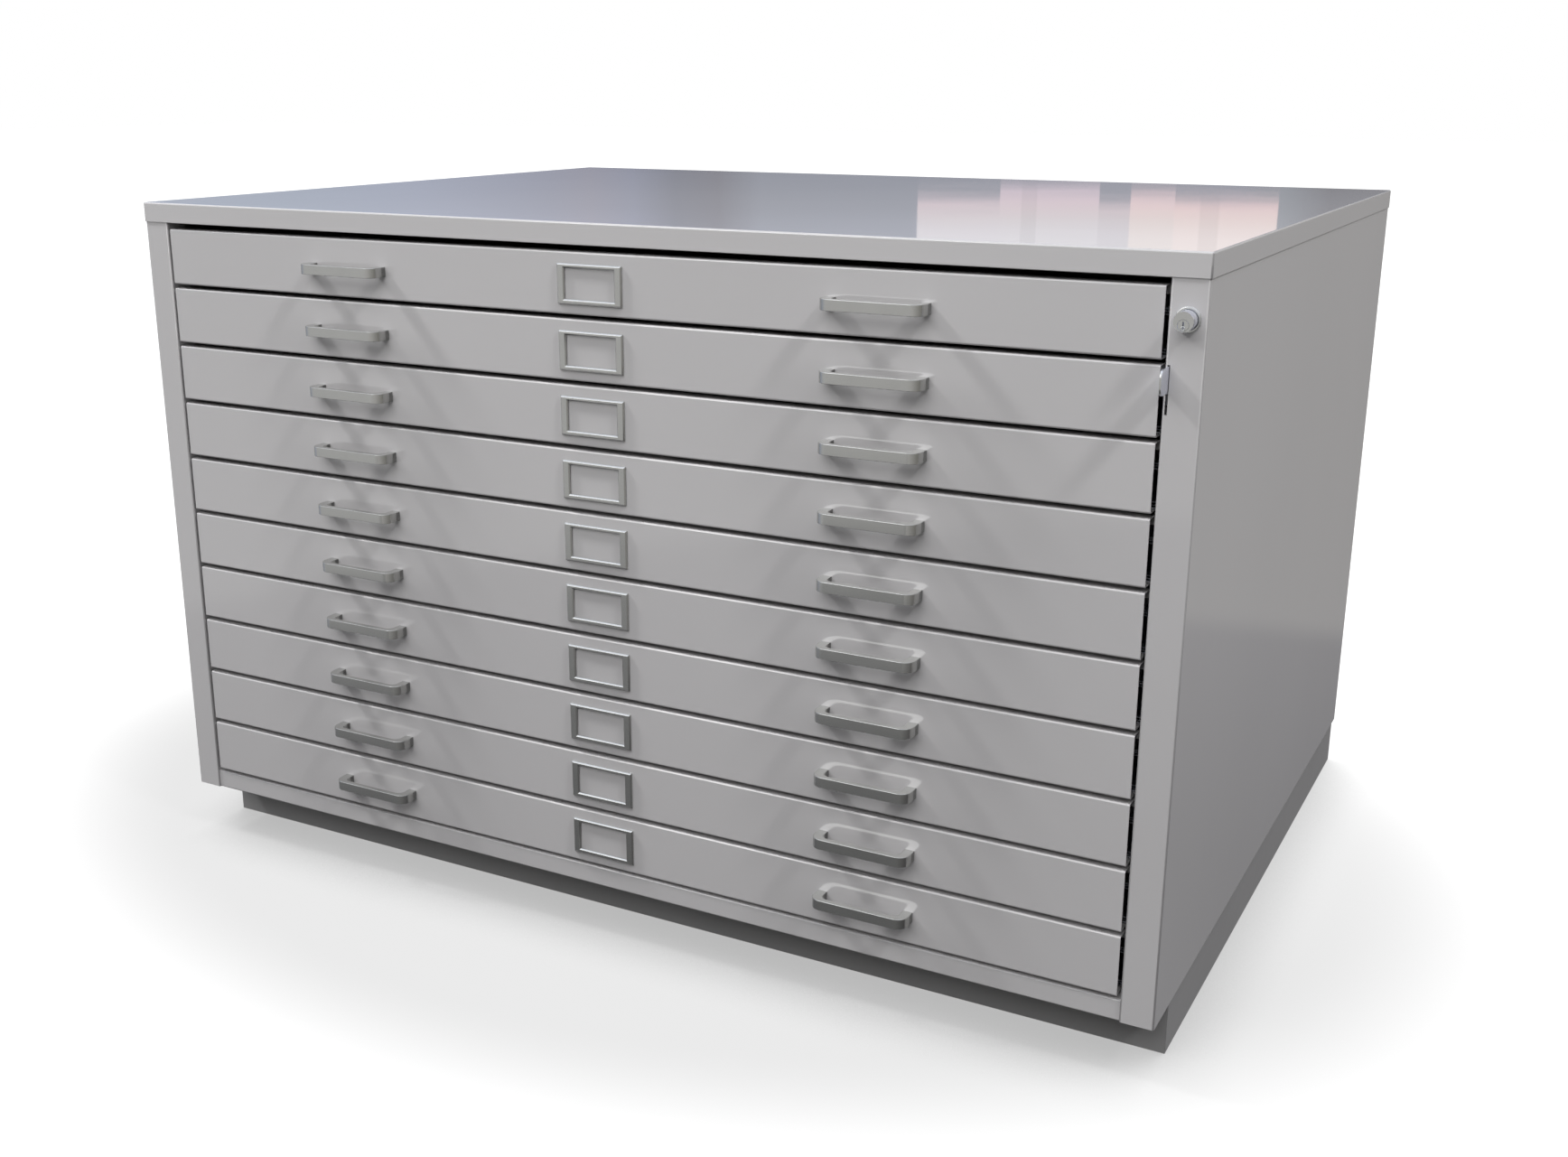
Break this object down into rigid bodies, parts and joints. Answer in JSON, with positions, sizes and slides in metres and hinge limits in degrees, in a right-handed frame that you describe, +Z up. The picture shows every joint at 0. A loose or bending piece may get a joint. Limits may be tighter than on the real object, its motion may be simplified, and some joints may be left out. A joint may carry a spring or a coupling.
{
  "type": "flat file cabinet",
  "caption": "Steel flat file cabinet on a recessed plinth, with shallow full-width drawers for large sheets, bar handles, card holders, a push lock and a gang locking bar.",
  "frame": {"origin": "on the floor under the middle of the whole cabinet's box, handles and lock lever included", "axes": "+Z up, drawers open towards -Y, +X to the right as seen from the front"},
  "size_m": [1.352, 1.0428, 0.862],
  "materials": {
    "top_paint": "semi-gloss light grey powder coat, a little glossier than the body",
    "cabinet_paint": "semi-gloss light grey powder coat",
    "drawer_paint": "semi-gloss light grey powder coat",
    "plinth_paint": "satin grey powder coat",
    "handle_metal": "satin grey finish",
    "lock_metal": "satin nickel",
    "slide_zinc": "zinc plated",
    "guide_nylon": "black nylon"
  },
  "bodies": {
    "cabinet": {"top_panel": "top_paint", "side_panel_left": "cabinet_paint", "side_panel_right": "cabinet_paint", "back_panel": "cabinet_paint", "bottom_panel": "cabinet_paint", "bottom_front_rail": "cabinet_paint", "top_front_rail": "cabinet_paint", "plinth_front": "plinth_paint", "plinth_back": "plinth_paint", "plinth_sides": "plinth_paint", "rear_posts": "slide_zinc", "slide_channels_left": "slide_zinc", "slide_channels_right": "slide_zinc", "lock_housing": "lock_metal", "lock_nut": "lock_metal", "lock_bar_guides": "guide_nylon"},
    "drawer_01": {"drawer_01_box": "drawer_paint", "drawer_01_handles": "handle_metal", "drawer_01_card_holder": "handle_metal"},
    "drawer_01_middles": {"drawer_01_slide_middles": "slide_zinc"},
    "drawer_02": {"drawer_02_box": "drawer_paint", "drawer_02_handles": "handle_metal", "drawer_02_card_holder": "handle_metal"},
    "drawer_02_middles": {"drawer_02_slide_middles": "slide_zinc"},
    "drawer_03": {"drawer_03_box": "drawer_paint", "drawer_03_handles": "handle_metal", "drawer_03_card_holder": "handle_metal"},
    "drawer_03_middles": {"drawer_03_slide_middles": "slide_zinc"},
    "drawer_04": {"drawer_04_box": "drawer_paint", "drawer_04_handles": "handle_metal", "drawer_04_card_holder": "handle_metal"},
    "drawer_04_middles": {"drawer_04_slide_middles": "slide_zinc"},
    "drawer_05": {"drawer_05_box": "drawer_paint", "drawer_05_handles": "handle_metal", "drawer_05_card_holder": "handle_metal"},
    "drawer_05_middles": {"drawer_05_slide_middles": "slide_zinc"},
    "drawer_06": {"drawer_06_box": "drawer_paint", "drawer_06_handles": "handle_metal", "drawer_06_card_holder": "handle_metal"},
    "drawer_06_middles": {"drawer_06_slide_middles": "slide_zinc"},
    "drawer_07": {"drawer_07_box": "drawer_paint", "drawer_07_handles": "handle_metal", "drawer_07_card_holder": "handle_metal"},
    "drawer_07_middles": {"drawer_07_slide_middles": "slide_zinc"},
    "drawer_08": {"drawer_08_box": "drawer_paint", "drawer_08_handles": "handle_metal", "drawer_08_card_holder": "handle_metal"},
    "drawer_08_middles": {"drawer_08_slide_middles": "slide_zinc"},
    "drawer_09": {"drawer_09_box": "drawer_paint", "drawer_09_handles": "handle_metal", "drawer_09_card_holder": "handle_metal"},
    "drawer_09_middles": {"drawer_09_slide_middles": "slide_zinc"},
    "drawer_10": {"drawer_10_box": "drawer_paint", "drawer_10_handles": "handle_metal", "drawer_10_card_holder": "handle_metal"},
    "drawer_10_middles": {"drawer_10_slide_middles": "slide_zinc"},
    "lock_button": {"lock_button": "lock_metal"},
    "lock_key_plug": {"lock_key_plug": "lock_metal"},
    "lock_bar": {"lock_bar": "slide_zinc", "lock_lever": "lock_metal"}
  },
  "joints": [
    {"name": "drawer_01_slide", "type": "slide", "parent": "cabinet", "child": "drawer_01", "axis": [0, -1, 0], "range_m": [0, 0.86]},
    {"name": "drawer_01_middles_slide", "type": "slide", "parent": "cabinet", "child": "drawer_01_middles", "axis": [0, -1, 0], "range_m": [0, 0.43]},
    {"name": "drawer_02_slide", "type": "slide", "parent": "cabinet", "child": "drawer_02", "axis": [0, -1, 0], "range_m": [0, 0.86]},
    {"name": "drawer_02_middles_slide", "type": "slide", "parent": "cabinet", "child": "drawer_02_middles", "axis": [0, -1, 0], "range_m": [0, 0.43]},
    {"name": "drawer_03_slide", "type": "slide", "parent": "cabinet", "child": "drawer_03", "axis": [0, -1, 0], "range_m": [0, 0.86]},
    {"name": "drawer_03_middles_slide", "type": "slide", "parent": "cabinet", "child": "drawer_03_middles", "axis": [0, -1, 0], "range_m": [0, 0.43]},
    {"name": "drawer_04_slide", "type": "slide", "parent": "cabinet", "child": "drawer_04", "axis": [0, -1, 0], "range_m": [0, 0.86]},
    {"name": "drawer_04_middles_slide", "type": "slide", "parent": "cabinet", "child": "drawer_04_middles", "axis": [0, -1, 0], "range_m": [0, 0.43]},
    {"name": "drawer_05_slide", "type": "slide", "parent": "cabinet", "child": "drawer_05", "axis": [0, -1, 0], "range_m": [0, 0.86]},
    {"name": "drawer_05_middles_slide", "type": "slide", "parent": "cabinet", "child": "drawer_05_middles", "axis": [0, -1, 0], "range_m": [0, 0.43]},
    {"name": "drawer_06_slide", "type": "slide", "parent": "cabinet", "child": "drawer_06", "axis": [0, -1, 0], "range_m": [0, 0.86]},
    {"name": "drawer_06_middles_slide", "type": "slide", "parent": "cabinet", "child": "drawer_06_middles", "axis": [0, -1, 0], "range_m": [0, 0.43]},
    {"name": "drawer_07_slide", "type": "slide", "parent": "cabinet", "child": "drawer_07", "axis": [0, -1, 0], "range_m": [0, 0.86]},
    {"name": "drawer_07_middles_slide", "type": "slide", "parent": "cabinet", "child": "drawer_07_middles", "axis": [0, -1, 0], "range_m": [0, 0.43]},
    {"name": "drawer_08_slide", "type": "slide", "parent": "cabinet", "child": "drawer_08", "axis": [0, -1, 0], "range_m": [0, 0.86]},
    {"name": "drawer_08_middles_slide", "type": "slide", "parent": "cabinet", "child": "drawer_08_middles", "axis": [0, -1, 0], "range_m": [0, 0.43]},
    {"name": "drawer_09_slide", "type": "slide", "parent": "cabinet", "child": "drawer_09", "axis": [0, -1, 0], "range_m": [0, 0.86]},
    {"name": "drawer_09_middles_slide", "type": "slide", "parent": "cabinet", "child": "drawer_09_middles", "axis": [0, -1, 0], "range_m": [0, 0.43]},
    {"name": "drawer_10_slide", "type": "slide", "parent": "cabinet", "child": "drawer_10", "axis": [0, -1, 0], "range_m": [0, 0.86]},
    {"name": "drawer_10_middles_slide", "type": "slide", "parent": "cabinet", "child": "drawer_10_middles", "axis": [0, -1, 0], "range_m": [0, 0.43]},
    {"name": "lock_push", "type": "slide", "parent": "cabinet", "child": "lock_button", "axis": [0, 1, 0], "range_m": [0, 0.012], "stiffness_N_per_m": 150},
    {"name": "lock_key_turn", "type": "hinge", "parent": "lock_button", "child": "lock_key_plug", "pos_m": [0.6566, -0.51315, 0.7966], "axis": [0, 1, 0], "range_deg": [0, 90]},
    {"name": "lock_bar_slide", "type": "slide", "parent": "cabinet", "child": "lock_bar", "axis": [0, 0, -1], "range_m": [0, 0.02]}
  ],
  "couplings": [
    {"joint": "drawer_01_middles_slide", "follows": "drawer_01_slide", "ratio": 0.5},
    {"joint": "drawer_02_middles_slide", "follows": "drawer_02_slide", "ratio": 0.5},
    {"joint": "drawer_03_middles_slide", "follows": "drawer_03_slide", "ratio": 0.5},
    {"joint": "drawer_04_middles_slide", "follows": "drawer_04_slide", "ratio": 0.5},
    {"joint": "drawer_05_middles_slide", "follows": "drawer_05_slide", "ratio": 0.5},
    {"joint": "drawer_06_middles_slide", "follows": "drawer_06_slide", "ratio": 0.5},
    {"joint": "drawer_07_middles_slide", "follows": "drawer_07_slide", "ratio": 0.5},
    {"joint": "drawer_08_middles_slide", "follows": "drawer_08_slide", "ratio": 0.5},
    {"joint": "drawer_09_middles_slide", "follows": "drawer_09_slide", "ratio": 0.5},
    {"joint": "drawer_10_middles_slide", "follows": "drawer_10_slide", "ratio": 0.5}
  ]
}
